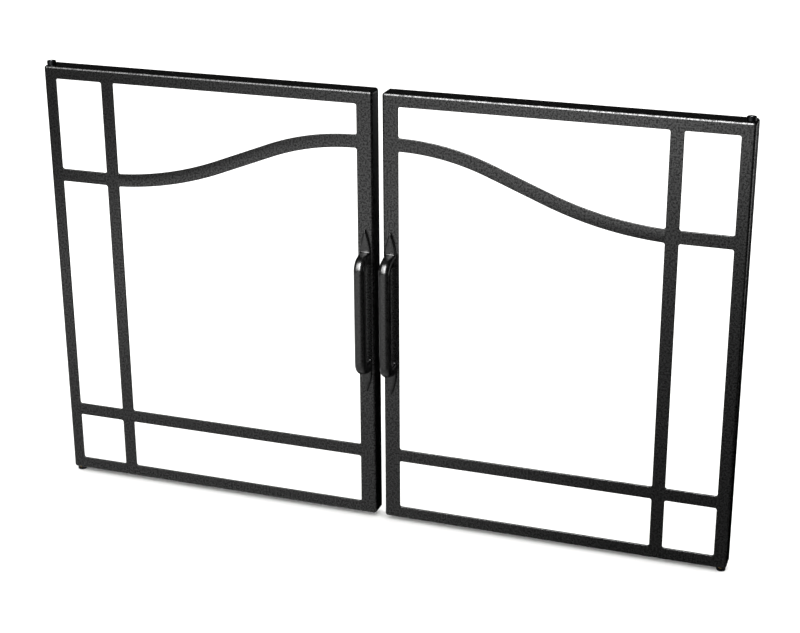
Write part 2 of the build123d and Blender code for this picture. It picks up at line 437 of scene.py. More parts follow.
@dataclass
class FinishRack:
    """Every finish of the doors, made once."""

    # Satin black polyester powder: close to black, with a sheen that breaks into fine grain. The
    # grain is drawn about three times as coarse as it is, so that it shows on the whole pair.
    paint: bpy.types.Material = field(
        default_factory=lambda: PowderCoat(
            "satin_black_powder_coat", "#010101", "#0c0c0c", (0.27, 0.37), 2.0, 0.22
        ).make()
    )
    # Sand-cast iron under the same black: smoother, over the soft unevenness of a casting. Its
    # grain is as coarse as the powder's.
    cast: bpy.types.Material = field(
        default_factory=lambda: PowderCoat(
            "black_painted_cast_iron",
            "#010101",
            "#0b0b0b",
            (0.27, 0.36),
            2.0,
            0.12,
            peel_mm=7.0,
            skin=(0.6, 0.85),
        ).make()
    )
    # Bright zinc plate: cool silver grey that clouds from patch to patch.
    zinc: bpy.types.Material = field(
        default_factory=lambda: PlatedSteel(
            "bright_zinc_plate", "#8f9397", "#c3c6c8", (0.26, 0.40), 0.5, 0.01, 1.6, metallic=1.0
        ).make()
    )
    # Oil-tempered spring wire: dark grey with lengthwise drawing marks.
    spring: bpy.types.Material = field(
        default_factory=lambda: Finish(
            "oil_tempered_spring_wire", "#3c3d3f", "#67686a", (0.30, 0.44), 0.4, 0.01, 3.0, 1.0
        ).make()
    )
    # Turned brass: warm yellow, with rings that the lathe leaves.
    brass: bpy.types.Material = field(
        default_factory=lambda: Finish(
            "turned_brass", "#a9873f", "#cfae62", (0.24, 0.38), 0.5, 0.01, 4.0, 1.0, (1.0, 1.0, 4.0)
        ).make()
    )
    # Black oxide on turned steel: nearly black metal with a low oily shine.
    oxide: bpy.types.Material = field(
        default_factory=lambda: Finish(
            "black_oxide_steel", "#161617", "#2b2c2e", (0.28, 0.40), 0.6, 0.012, 5.0, 1.0
        ).make()
    )
    # Seamless studio paper: flat white with a faint fibre.
    paper: bpy.types.Material = field(
        default_factory=lambda: SweepPaper(
            "seamless_studio_paper", "#f4f4f2", "#fafaf9", (0.85, 0.95), 3.0, 0.05, 300.0
        ).make()
    )


# ---------------------------------------------------------------------------------------------
# Geometry Nodes trees


class NodeMaker:
    """A Geometry Nodes tree with named inputs, whose result becomes a plain mesh."""

    FLOATS: tuple[str, ...] = ()
    COUNTS: tuple[str, ...] = ()

    def __init__(self, name: str) -> None:
        """Start the tree and its inputs.

        Args:
            name: the tree's name.
        """
        self.tree = bpy.data.node_groups.new(name, "GeometryNodeTree")
        self.sockets: dict[str, str] = {}
        self.declare("Geometry", "NodeSocketGeometry")
        for label in self.FLOATS:
            self.declare(label, "NodeSocketFloat")
        for label in self.COUNTS:
            self.declare(label, "NodeSocketInt")
        self.declare("Part", "NodeSocketObject")
        self.declare("Facing", "NodeSocketVector")
        self.declare("Material", "NodeSocketMaterial")
        interface = self.tree.interface
        interface.new_socket(name="Geometry", in_out="OUTPUT", socket_type="NodeSocketGeometry")
        self.inputs = add_node(self.tree, "NodeGroupInput").outputs
        self.close(self.build())

    def declare(self, label: str, kind: str) -> None:
        """Add one named input to the tree."""
        socket = self.tree.interface.new_socket(name=label, in_out="INPUT", socket_type=kind)
        self.sockets[label] = socket.identifier

    def build(self) -> bpy.types.NodeSocket:
        """Nodes between the inputs and the last two: each kind of maker has its own."""
        raise NotImplementedError

    def close(self, result: bpy.types.NodeSocket) -> None:
        """End the tree in real geometry with its material.

        Args:
            result: the geometry that the tree has built.
        """
        real = add_node(self.tree, "GeometryNodeRealizeInstances", links={"Geometry": result})
        dressed = add_node(
            self.tree,
            "GeometryNodeSetMaterial",
            links={"Geometry": real.outputs[0], "Material": self.inputs["Material"]},
        )
        add_node(self.tree, "NodeGroupOutput", links={0: dressed.outputs[0]})

    def run(self, seed_mesh: bpy.types.Mesh, name: str, **values: object) -> bpy.types.Mesh:
        """Run the tree on a mesh.

        Args:
            seed_mesh: the points or path that the tree starts from.
            name: the name of the result.
            **values: the tree's inputs by name, with _ for a space.

        Returns:
            The plain mesh that the tree made.
        """
        holder = new_object(name, seed_mesh)
        modifier = holder.modifiers.new(self.tree.name, "NODES")
        modifier.node_group = self.tree
        for label, value in values.items():
            modifier[self.sockets[label.replace("_", " ")]] = value
        mesh = evaluated_mesh(holder)
        holder.modifiers.clear()
        discard(holder)
        mesh.name = name
        return mesh


class BarAlongPath(NodeMaker):
    """Runs a bar with rounded edges along a path, and rounds the path's corners by their own radii."""

    FLOATS = ("Width", "Depth", "Edge radius")
    COUNTS = ("Edge steps", "Bend steps")

    def build(self) -> bpy.types.NodeSocket:
        """Path, its bends, the section, and the bar swept from them.

        Returns:
            The swept bar.
        """
        tree, inputs = self.tree, self.inputs
        path = add_node(tree, "GeometryNodeMeshToCurve", links={"Mesh": inputs["Geometry"]})
        radius = add_node(tree, "GeometryNodeInputNamedAttribute", {"Name": "bend_radius"})
        bent = add_node(
            tree,
            "GeometryNodeFilletCurve",
            {"mode": "POLY"},
            {
                "Curve": path.outputs[0],
                "Count": inputs["Bend steps"],
                "Radius": radius.outputs[0],
            },
        )
        outline = add_node(
            tree,
            "GeometryNodeCurvePrimitiveQuadrilateral",
            links={"Width": inputs["Width"], "Height": inputs["Depth"]},
        )
        section = add_node(
            tree,
            "GeometryNodeFilletCurve",
            {"mode": "POLY"},
            {
                "Curve": outline.outputs[0],
                "Count": inputs["Edge steps"],
                "Radius": inputs["Edge radius"],
            },
        )
        bar = add_node(
            tree,
            "GeometryNodeCurveToMesh",
            {"Fill Caps": True},
            {"Curve": bent.outputs[0], "Profile Curve": section.outputs[0]},
        )
        return bar.outputs[0]

    @staticmethod
    def path(points: Sequence[Point], radii: Sequence[float]) -> bpy.types.Mesh:
        """Lay out the corners of a path.

        Args:
            points: the corners in metres, in order.
            radii: the bend radius at each corner in metres, 0 at a free end.

        Returns:
            A mesh of joined edges that holds the path.
        """
        mesh = bpy.data.meshes.new("path")
        mesh.from_pydata(points, [(i, i + 1) for i in range(len(points) - 1)], [])
        bend = mesh.attributes.new("bend_radius", "FLOAT", "POINT")
        bend.data.foreach_set("value", radii)
        return mesh


class PartsAtPoints(NodeMaker):
    """Sets a copy of one part at every point, turned to face one way."""

    def spots(self) -> bpy.types.NodeSocket:
        """The points that get a part."""
        return self.inputs["Geometry"]

    def scale(self) -> dict[str | int, bpy.types.NodeSocket]:
        """Links for the size of each copy, none when all are alike."""
        return {}

    def build(self) -> bpy.types.NodeSocket:
        """Copies of the part at the points.

        Returns:
            The instances.
        """
        tree, inputs = self.tree, self.inputs
        part = add_node(tree, "GeometryNodeObjectInfo", links={"Object": inputs["Part"]})
        turn = add_node(
            tree,
            "FunctionNodeAlignRotationToVector",
            {"axis": "Z"},
            {"Vector": inputs["Facing"]},
        )
        links = {
            "Points": self.spots(),
            "Instance": part.outputs["Geometry"],
            "Rotation": turn.outputs[0],
        }
        links.update(self.scale())
        return add_node(tree, "GeometryNodeInstanceOnPoints", links=links).outputs[0]


class PartsAlongSeams(PartsAtPoints):
    """Sets parts along each seam at one pitch, each a little larger or smaller than the next."""

    FLOATS = ("Pitch", "Smallest", "Largest")
    COUNTS = ("Seed",)

    def spots(self) -> bpy.types.NodeSocket:
        """Evenly spaced points along the seams."""
        seams = add_node(
            self.tree, "GeometryNodeMeshToCurve", links={"Mesh": self.inputs["Geometry"]}
        )
        spaced = add_node(
            self.tree,
            "GeometryNodeResampleCurve",
            {"mode": "LENGTH"},
            {"Curve": seams.outputs[0], "Length": self.inputs["Pitch"]},
        )
        return spaced.outputs[0]

    def scale(self) -> dict[str | int, bpy.types.NodeSocket]:
        """Uneven size, as a hand-held torch leaves it."""
        size = add_node(
            self.tree,
            "FunctionNodeRandomValue",
            {"data_type": "FLOAT"},
            {2: self.inputs["Smallest"], 3: self.inputs["Largest"], "Seed": self.inputs["Seed"]},
        )
        return {"Scale": size.outputs[1]}


@dataclass
class Workshop:
    """The finishes and the makers that every sub-assembly shares."""

    finishes: FinishRack = field(default_factory=FinishRack)
    bars: BarAlongPath = field(default_factory=lambda: BarAlongPath("bar_along_path"))
    fastener_setter: PartsAtPoints = field(default_factory=lambda: PartsAtPoints("parts_at_points"))
    bead_layer: PartsAlongSeams = field(
        default_factory=lambda: PartsAlongSeams("ripples_along_seams")
    )


# ---------------------------------------------------------------------------------------------
# Sub-assemblies


@dataclass
class DoorLeaf:
    """Folded and welded frame of one leaf, with the wave-shaped bar across it. Sizes in millimetres."""

    side: Side
    shop: Workshop
    outer_edge: float = 432.0
    pane_out: float = 416.5
    muntin_out: float = 355.0
    muntin_in: float = 339.5
    pane_in: float = 25.5
    meeting_edge: float = 6.0
    low: float = 5.0
    bottom_rail_top: float = 20.5
    lower_bar: tuple[float, float] = (83.0, 98.5)
    upper_bar: tuple[float, float] = (401.0, 416.5)
    top_rail_low: float = 530.5
    high: float = 546.0
    sheet: float = 2.0
    flange_back: float = 22.0
    wave_width: float = 16.0
    wave_edge: float = 0.5
    wave_corners: tuple[tuple[float, float], ...] = (
        (339.5, 408.75),
        (265.5, 413.35),
        (87.0, 484.0),
        (25.5, 485.8),
    )
    wave_radii: tuple[float, float] = (425.0, 298.0)
    wave_overrun: float = 4.0
    bead_pitch: float = 1.3
    bead_radius: float = 1.25
    bead_height: float = 0.9
    bead_shoulder: float = 0.7
    bead_smallest: float = 0.82
    bead_seed: int = 7

    FRAME_NODES = (
        "hinge_stile",
        "meeting_stile",
        "top_rail",
        "bottom_rail",
        "muntin",
        "upper_side_bar",
        "lower_side_bar",
        "lower_main_bar",
        "corner_welds",
    )

    def build(self) -> None:
        """Dress the welded frame, and make its wave bar and weld beads."""
        for node in self.FRAME_NODES:
            dress(self.side.prefix + node, self.shop.finishes.paint)
        self.wave_bar()
        self.weld_beads()

    def wave_bar(self) -> bpy.types.Object:
        """S-curved bar, cut square to the muntin and the meeting stile.

        Returns:
            The bar.
        """
        corners = [Vector(self.side.at(x, self.sheet / 2, z)) for x, z in self.wave_corners]
        overrun = self.wave_overrun * MM
        corners[0] += (corners[0] - corners[1]).normalized() * overrun
        corners[-1] += (corners[-1] - corners[-2]).normalized() * overrun
        radii = [0.0, *(r * MM for r in self.wave_radii), 0.0]
        mesh = self.shop.bars.run(
            BarAlongPath.path([tuple(c) for c in corners], radii),
            self.side.prefix + "wave_bar_swept",
            Width=self.sheet * MM,
            Depth=self.wave_width * MM,
            Edge_radius=self.wave_edge * MM,
            Edge_steps=4,
            Bend_steps=48,
            Material=self.shop.finishes.paint,
        )
        work = bmesh.new()
        work.from_mesh(mesh)
        for out, facing in ((self.muntin_in, 1), (self.pane_in, -1)):
            found = bmesh.ops.bisect_plane(
                work,
                geom=work.verts[:] + work.edges[:] + work.faces[:],
                plane_co=self.side.at(out, 0, 0),
                plane_no=(self.side.value * facing, 0, 0),
                clear_outer=True,
            )
            rim = [e for e in found["geom_cut"] if isinstance(e, bmesh.types.BMEdge)]
            bmesh.ops.contextual_create(work, geom=rim)
        bar = new_object(
            self.side.prefix + "swept_wave_bar", mesh_from_bmesh(work, "swept_wave_bar")
        )
        bar.data.materials.append(self.shop.finishes.paint)
        node = self.side.prefix + "wave_bar"
        return rest_on(bar, self.side.prefix + "leaf", [node], crease_degrees=12)

    def seams(self) -> list[tuple[Point, Point]]:
        """Ends of each weld seam: behind the bars' ends, and up the inside of the folded corners.

        Returns:
            Two points in metres for each seam.
        """
        back = self.sheet
        gap = 2 * self.bead_radius
        upright = [
            (self.pane_out, self.upper_bar),
            (self.muntin_out, self.upper_bar),
            (self.pane_out, self.lower_bar),
            (self.muntin_out, self.lower_bar),
            (self.muntin_in, self.lower_bar),
            (self.pane_in, self.lower_bar),
        ]
        for out, middle in (self.wave_corners[0], self.wave_corners[-1]):
            upright.append((out, (middle - self.wave_width / 2, middle + self.wave_width / 2)))
        ends = [((out, back, low + gap), (out, back, high - gap)) for out, (low, high) in upright]
        for height in (self.bottom_rail_top, self.top_rail_low):
            ends.append(
                ((self.muntin_in + gap, back, height), (self.muntin_out - gap, back, height))
            )
        for out in (self.outer_edge - self.sheet, self.meeting_edge + self.sheet):
            for height in (self.low + self.sheet, self.high - self.sheet):
                start, stop = back + gap, self.flange_back - gap
                ends.append(((out, start, height), (out, stop, height)))
        return [(self.side.at(*a), self.side.at(*b)) for a, b in ends]

    def weld_beads(self) -> bpy.types.Object:
        """Rippled beads of the welds on the back.

        Returns:
            All the beads of the leaf as one piece.
        """
        seams = self.seams()
        mesh = bpy.data.meshes.new("seams")
        points = [point for seam in seams for point in seam]
        mesh.from_pydata(points, [(2 * i, 2 * i + 1) for i in range(len(seams))], [])
        radius, height = self.bead_radius, self.bead_height
        shoulder = self.bead_shoulder
        profile = [(0, -height), (radius * shoulder, -height * shoulder), (radius, 0)]
        profile += [(radius * shoulder, height * shoulder), (0, height)]
        ripple = new_object("ripple", turned(profile, 10, "ripple"))
        beads = self.shop.bead_layer.run(
            mesh,
            "beads",
            Pitch=self.bead_pitch * MM,
            Smallest=self.bead_smallest,
            Largest=1.0,
            Seed=self.bead_seed,
            Part=ripple,
            Facing=REARWARD,
            Material=self.shop.finishes.paint,
        )
        discard(ripple)
        piece = new_object(self.side.prefix + "weld_beads", beads)
        return rest_on(piece, self.side.prefix + "leaf", crease_degrees=60)


@dataclass
class PullHandle:
    """Cast pull with a spear-shaped pad at each end and a round-edged grip. Sizes in millimetres."""

    side: Side
    shop: Workshop
    out: float = 15.75
    middle: float = 275.5
    leg: float = 69.0
    stand_off: float = 21.5
    bend: float = 11.0
    grip: tuple[float, float] = (13.5, 14.0)
    grip_corner: float = 5.5
    pad_half: float = 7.0
    pad_root: float = 60.0
    pad_shoulder: float = 72.0
    pad_tip: float = 104.0
    pad_crown: float = 3.9
    pad_edge: float = 3.2
    pad_edge_round: float = 0.9
    pad_end_crown: float = 0.35
    tip_half: float = 0.5
    ridge_high: float = 75.2
    ridge_drop: float = 3.2
    ridge_radius: float = 1.3
    # Steps of a leg's flared root: back, half width, height of its middle, half height.
    flare: tuple[tuple[float, float, float, float], ...] = (
        (-0.6, 6.9, 68.6, 8.0),
        (-3.8, 6.9, 68.8, 7.8),
        (-6.0, 6.8, 68.9, 7.5),
        (-8.5, 6.75, 69.0, 7.1),
        (-11.0, 6.7, 69.0, 6.9),
    )
    grain: float = 0.55
    melt_rounds: int = 5

    def half_width(self, height: float) -> float:
        """Half the pad's width at a height above the handle's middle.

        Args:
            height: millimetres from the handle's middle.

        Returns:
            Millimetres from the pad's middle line to its side.
        """
        if height <= self.pad_shoulder:
            return self.pad_half
        length = self.pad_tip - self.pad_shoulder
        radius = (length**2 + self.pad_half**2) / (2 * self.pad_half)
        along = height - self.pad_shoulder
        return max(self.tip_half, self.pad_half - radius + math.sqrt(radius**2 - along**2))

    def pad(self, end: int) -> bpy.types.Mesh:
        """Crowned spear pad.

        Args:
            end: 1 for the upper pad, -1 for the lower.

        Returns:
            The closed pad.
        """
        stations = 44
        steps = 10
        rings = []
        for i in range(stations + 1):
            height = self.pad_root + (self.pad_tip - self.pad_root) * i / stations
            half = self.half_width(height)
            fullness = min(1.0, half / self.pad_half + self.pad_end_crown)
            ring = [(-half, 0.0), (-half, -(self.pad_edge - self.pad_edge_round))]
            for j in range(steps + 1):
                across = -1 + 2 * j / steps
                lift = (self.pad_crown - self.pad_edge) * (1 - across**2) * fullness
                inset = max(0.0, half - self.pad_edge_round * 0.5)
                ring.append((across * inset, -(self.pad_edge + lift)))
            ring += [(half, -(self.pad_edge - self.pad_edge_round)), (half, 0.0)]
            rings.append(
                [self.side.at(self.out + x, y, self.middle + end * height) for x, y in ring]
            )
        return loft(rings, "pad")

    def bar(
        self, name: str, path: list[Point], radii: list[float], section: tuple[float, float, float]
    ) -> bpy.types.Mesh:
        """Sweep part of the casting.

        Args:
            name: the mesh's name.
            path: corners, out from the handle's middle line, back, and up from its middle.
            radii: bend radius at each corner.
            section: width, depth and corner radius.

        Returns:
            The closed bar.
        """
        placed = [self.side.at(self.out + x, y, self.middle + z) for x, y, z in path]
        width, depth, corner = (size * MM for size in section)
        return self.shop.bars.run(
            BarAlongPath.path(placed, [r * MM for r in radii]),
            name,
            Width=width,
            Depth=depth,
            Edge_radius=corner,
            Edge_steps=8,
            Bend_steps=16,
            Material=self.shop.finishes.cast,
        )

    def ridge(self, end: int) -> bpy.types.Mesh:
        """Rib bowed over the top of a leg.

        Args:
            end: 1 for the upper leg, -1 for the lower.

        Returns:
            The closed rib.
        """
        half = self.pad_half - self.ridge_radius
        count = 14
        path = []
        for i in range(count + 1):
            across = -1 + 2 * i / count
            height = self.ridge_high - self.ridge_drop * across**2
            path.append((across * half, -self.pad_crown, end * height))
        size = 2 * self.ridge_radius
        section = (size, size, self.ridge_radius * NEARLY_ROUND)
        return self.bar("ridge", path, [0.0] * len(path), section)

    def root(self, end: int) -> bpy.types.Mesh:
        """Flared root of a leg, where it grows out of its pad.

        Args:
            end: 1 for the upper leg, -1 for the lower.

        Returns:
            The closed root.
        """
        steps = 32
        squareness = 0.5
        rings = []
        for back, half, middle, half_high in self.flare:
            ring = []
            for i in range(steps):
                angle = math.tau * i / steps
                across, along = math.cos(angle), math.sin(angle)
                x = math.copysign(abs(across) ** squareness, across) * half
                z = math.copysign(abs(along) ** squareness, along) * half_high
                ring.append(self.side.at(self.out + x, back, self.middle + end * (middle + z)))
            rings.append(ring)
        return loft(rings, "root")

    def build(self) -> bpy.types.Object:
        """Melt grip, pads and ribs into one casting with soft inner corners.

        Returns:
            The handle.
        """
        root = -self.pad_edge / 2
        path = [
            (0.0, root, self.leg),
            (0.0, -self.stand_off, self.leg),
            (0.0, -self.stand_off, -self.leg),
            (0.0, root, -self.leg),
        ]
        bends = [0, self.bend, self.bend, 0]
        shells = [self.bar("grip", path, bends, (*self.grip, self.grip_corner))]
        for end in (1, -1):
            shells += [self.pad(end), self.ridge(end), self.root(end)]
        name = self.side.prefix + "cast_pull"
        handle = new_object(name, joined(shells, name))
        melt = handle.modifiers.new("melt", "REMESH")
        melt.mode = "VOXEL"
        melt.voxel_size = self.grain * MM
        soften = handle.modifiers.new("soften", "SMOOTH")
        soften.factor = 0.5
        soften.iterations = self.melt_rounds
        cast = evaluated_mesh(handle)
        handle.modifiers.clear()
        handle.data = cast
        handle.data.materials.clear()
        handle.data.materials.append(self.shop.finishes.cast)
        node = self.side.prefix + "handle"
        return rest_on(handle, self.side.prefix + "leaf", [node], crease_degrees=80)


@dataclass
class HandleFastenings:
    """Two cross-recess pan-head screws and washers behind the meeting stile. Sizes in millimetres."""

    side: Side
    shop: Workshop
    handle: PullHandle
    seat: float = 2.0
    washer_thickness: float = 0.8
    washer_radius: float = 4.5
    hole_radius: float = 2.25
    head_radius: float = 4.0
    head_height: float = 2.6
    shank_radius: float = 2.0
    shank_length: float = 8.0
    recess_length: float = 4.6
    recess_width: float = 1.0
    recess_depth: float = 1.4
    edge: float = 0.15
    recess_foot: tuple[float, float] = (0.55, 0.82)
    punch_clearance: float = 0.2
    crown_foot: float = 0.35
    crown_squareness: float = 0.6

    def legs(self, back: float) -> bpy.types.Mesh:
        """Points behind the handle's two legs.

        Args:
            back: millimetres behind the front face.

        Returns:
            A mesh of two points.
        """
        mesh = bpy.data.meshes.new("legs")
        heights = (self.handle.middle + self.handle.leg, self.handle.middle - self.handle.leg)
        mesh.from_pydata([self.side.at(self.handle.out, back, h) for h in heights], [], [])
        return mesh

    def cutter(self) -> bpy.types.Object:
        """Cross-shaped punch that leaves the recess, narrower at its foot."""
        bars = []
        top = self.head_height + self.punch_clearance
        foot = self.head_height - self.recess_depth
        for turn in (0.0, math.pi / 2):
            turning = Matrix.Rotation(turn, 3, "Z")
            rings = []
            for height, (long, wide) in ((foot, self.recess_foot), (top, (1.0, 1.0))):
                x, y = self.recess_length / 2 * long, self.recess_width / 2 * wide
                corners = [(-x, -y), (x, -y), (x, y), (-x, y)]
                rings.append([tuple(turning @ Vector((a, b, height)) * MM) for a, b in corners])
            bars.append(loft(rings, "punch_bar"))
        punch = new_object("punch", bars[0])
        other = new_object("punch_other", bars[1])
        union = punch.modifiers.new("union", "BOOLEAN")
        union.operation, union.object = "UNION", other
        merged = evaluated_mesh(punch)
        punch.modifiers.clear()
        punch.data = merged
        discard(other)
        return punch

    def screw(self) -> bpy.types.Object:
        """Turned screw with its recess punched, standing on its shank with its head up."""
        radius, height = self.head_radius, self.head_height
        profile = [(0.0, -self.shank_length - self.seat - self.washer_thickness)]
        profile += [(self.shank_radius, profile[0][1]), (self.shank_radius, 0.0)]
        profile += [(radius - self.edge, 0.0), (radius, self.edge)]
        steps = 8
        for i in range(steps):
            angle = math.pi / 2 * i / steps
            share = self.crown_foot + (1 - self.crown_foot) * math.sin(angle)
            profile.append((radius * math.cos(angle) ** self.crown_squareness, height * share))
        profile.append((0.0, height))
        screw = new_object("screw", turned(profile, 32, "screw"))
        punch = self.cutter()
        cut = screw.modifiers.new("recess", "BOOLEAN")
        cut.operation, cut.object = "DIFFERENCE", punch
        punched = evaluated_mesh(screw)
        screw.modifiers.clear()
        screw.data = punched
        discard(punch)
        return screw

    def washer(self) -> bpy.types.Object:
        """Flat washer with broken edges."""
        inner, outer, thick, edge = (
            self.hole_radius,
            self.washer_radius,
            self.washer_thickness,
            self.edge,
        )
        section = [
            (inner, 0.0),
            (outer - edge, 0.0),
            (outer, edge),
            (outer, thick - edge),
            (outer - edge, thick),
            (inner + edge, thick),
            (inner, thick - edge),
        ]
        return new_object("washer", ring_of(section, 36, "washer"))

    def set_parts(
        self, part: bpy.types.Object, back: float, name: str, node: str
    ) -> bpy.types.Object:
        """Set one kind of fastener at both legs.

        Args:
            part: the fastener, which is discarded.
            back: how far behind the front face it seats.
            name: the piece's name after the side.
            node: the CAD node that it stands for, after the side.

        Returns:
            The piece with both fasteners.
        """
        mesh = self.shop.fastener_setter.run(
            self.legs(back),
            name,
            Part=part,
            Facing=REARWARD,
            Material=self.shop.finishes.zinc,
        )
        discard(part)
        piece = new_object(self.side.prefix + name, mesh)
        leaf = self.side.prefix + "leaf"
        return rest_on(piece, leaf, [self.side.prefix + node], crease_degrees=35)

    def build(self) -> None:
        """Make the screws and washers."""
        back = self.seat + self.washer_thickness
        self.set_parts(self.screw(), back, "pan_head_screws", "handle_screws")
        self.set_parts(self.washer(), self.seat, "flat_washers", "handle_washers")


def ring_of(
    section: Sequence[tuple[float, float]], segments: int, name: str
) -> bpy.types.Mesh:
    """Turn a closed section about the Z axis into a ring.

    Args:
        section: radius and height of each corner in millimetres, round the section.
        segments: how many sides the ring has.
        name: the mesh's name.

    Returns:
        The closed ring, in metres.
    """
    work = bmesh.new()
    rows = []
    for i in range(segments):
        turn = math.tau * i / segments
        across, along = math.cos(turn) * MM, math.sin(turn) * MM
        rows.append([work.verts.new((r * across, r * along, h * MM)) for r, h in section])
    count = len(section)
    for i in range(segments):
        here, following = rows[i], rows[(i + 1) % segments]
        for j in range(count):
            k = (j + 1) % count
            work.faces.new((here[j], following[j], following[k], here[k]))
    return mesh_from_bmesh(work, name)


@dataclass
class SprungPivot:
    """Top pivot: pin, coil spring, clip, knurled knob and guide bracket. Sizes in millimetres."""

    side: Side
    shop: Workshop
    axis_out: float = 425.0
    axis_back: float = 8.0
    spring_low: float = 511.2
    spring_high: float = 542.5
    wire: float = 0.45
    coil_radius: float = 3.2
    turns: int = 8
    closed_turns: float = 1.0
    points_a_turn: int = 22
    travel: float = 8.0
    knob_low: float = 500.0
    knob_height: float = 8.0
    knob_radius: float = 3.5
    ribs: int = 20
    rib_depth: float = 0.35
    groove: float = 0.6

    def build(self) -> None:
        """Dress the pin, clip and bracket, and make the spring and the knob."""
        finishes = self.shop.finishes
        prefix = self.side.prefix
        dress(prefix + "top_pin", finishes.zinc)
        dress(prefix + "pin_clip", finishes.spring)
        dress(prefix + "pin_bracket", finishes.paint)
        self.coil()
        self.knob()

    def coil(self) -> bpy.types.Object:
        """Compression spring with closed ends.

        Returns:
            The spring.
        """
        steps = self.turns * self.points_a_turn
        lead = self.closed_turns / self.turns
        rise = self.spring_high - self.spring_low - 2 * self.wire
        closed_rise = 2 * self.wire
        path = []
        for i in range(steps + 1):
            share = i / steps
            if share < lead:
                lift = closed_rise * share / lead
            elif share > 1 - lead:
                lift = rise - closed_rise * (1 - share) / lead
            else:
                lift = closed_rise + (rise - 2 * closed_rise) * (share - lead) / (1 - 2 * lead)
            angle = math.tau * self.turns * share
            path.append(
                self.side.at(
                    self.axis_out + self.coil_radius * math.cos(angle),
                    self.axis_back + self.coil_radius * math.sin(angle),
                    self.spring_low + self.wire + lift,
                )
            )
        mesh = self.shop.bars.run(
            BarAlongPath.path(path, [0.0] * len(path)),
            "coil",
            Width=2 * self.wire * MM,
            Depth=2 * self.wire * MM,
            Edge_radius=self.wire * NEARLY_ROUND * MM,
            Edge_steps=2,
            Bend_steps=1,
            Material=self.shop.finishes.spring,
        )
        spring = new_object(self.side.prefix + "coil_spring", mesh)
        rest_on(
            spring,
            self.side.prefix + "pin",
            [self.side.prefix + "pin_spring"],
            crease_degrees=60,
        )
        length = self.spring_high - self.spring_low
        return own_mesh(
            spring,
            self.side.prefix + "pin_retract",
            axis=(0, 0, 1),
            anchor=self.side.at(self.axis_out, self.axis_back, self.spring_high),
            keep=(length - self.travel) / length,
        )

    def knob(self) -> bpy.types.Object:
        """Knurled pull knob with a finger groove round its middle.

        Returns:
            The knob.
        """
        segments = self.ribs * 4
        deep, high = self.groove, self.knob_height
        # Height, radius taken off, and share of the rib's depth, up the knob.
        stations = (
            (0.0, deep, 0.0),
            (deep, 0.0, 0.0),
            (deep + 0.2, 0.0, 1.0),
            (high / 2 - deep - 0.2, 0.0, 1.0),
            (high / 2 - deep, 0.0, 0.0),
            (high / 2 - deep * 0.5, deep, 0.0),
            (high / 2 + deep * 0.5, deep, 0.0),
            (high / 2 + deep, 0.0, 0.0),
            (high / 2 + deep + 0.2, 0.0, 1.0),
            (high - deep - 0.2, 0.0, 1.0),
            (high - deep, 0.0, 0.0),
            (high, deep, 0.0),
        )
        rings = []
        for height, off, share in stations:
            ring = []
            for i in range(segments):
                angle = math.tau * i / segments
                cut = self.rib_depth * share * (0.5 - 0.5 * math.cos(self.ribs * angle))
                radius = self.knob_radius - off - cut
                ring.append(
                    self.side.at(
                        self.axis_out + radius * math.cos(angle),
                        self.axis_back + radius * math.sin(angle),
                        self.knob_low + height,
                    )
                )
            rings.append(ring)
        knob = new_object(self.side.prefix + "knurled_knob", loft(rings, "knob"))
        knob.data.materials.append(self.shop.finishes.zinc)
        node = self.side.prefix + "pin_knob"
        return rest_on(knob, self.side.prefix + "pin", [node], crease_degrees=25)


@dataclass
class FixedPivots:
    """Bushes that the surround carries, and the headed pin and thrust washer under the leaf."""

    side: Side
    shop: Workshop

    def build(self) -> None:
        """Dress the bushes, the lower pin and its washer."""
        finishes = self.shop.finishes
        for node, finish in (
            ("top_bush", finishes.oxide),
            ("bottom_bush", finishes.oxide),
            ("bottom_pin", finishes.zinc),
            ("bottom_washer", finishes.brass),
        ):
            dress(self.side.prefix + node, finish)


def dress(node: str, finish: bpy.types.Material) -> None:
    """Give a CAD node its finish.

    Args:
        node: the node's name.
        finish: the material that takes every one of its slots.
    """
    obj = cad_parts[node]
    if not obj.material_slots:
        obj.data.materials.append(finish)
    for material_slot in obj.material_slots:
        material_slot.material = finish
    log.info("%s is finished in %s", node, finish.name)


# ---------------------------------------------------------------------------------------------
# Studio


@dataclass(frozen=True)
class Softbox:
    """A soft rectangular lamp, which shows as gloss. The air gives the even light."""

    name: str
    place: Point
    aim: Point
    size: tuple[float, float]
    brightness: float

    def light(self) -> None:
        """Hang the lamp and aim it."""
        data = bpy.data.lights.new(self.name, "AREA")
        data.shape = "RECTANGLE"
        data.size, data.size_y = self.size
        data.energy = self.brightness * math.pi * self.size[0] * self.size[1]
        lamp = bpy.data.objects.new(self.name, data)
        lamp.location = self.place
        direction = Vector(self.aim) - Vector(self.place)
        lamp.rotation_euler = direction.to_track_quat("-Z", "Y").to_euler()
        lamp.visible_camera = False
        lamp.visible_diffuse = False
        bpy.context.scene.collection.objects.link(lamp)


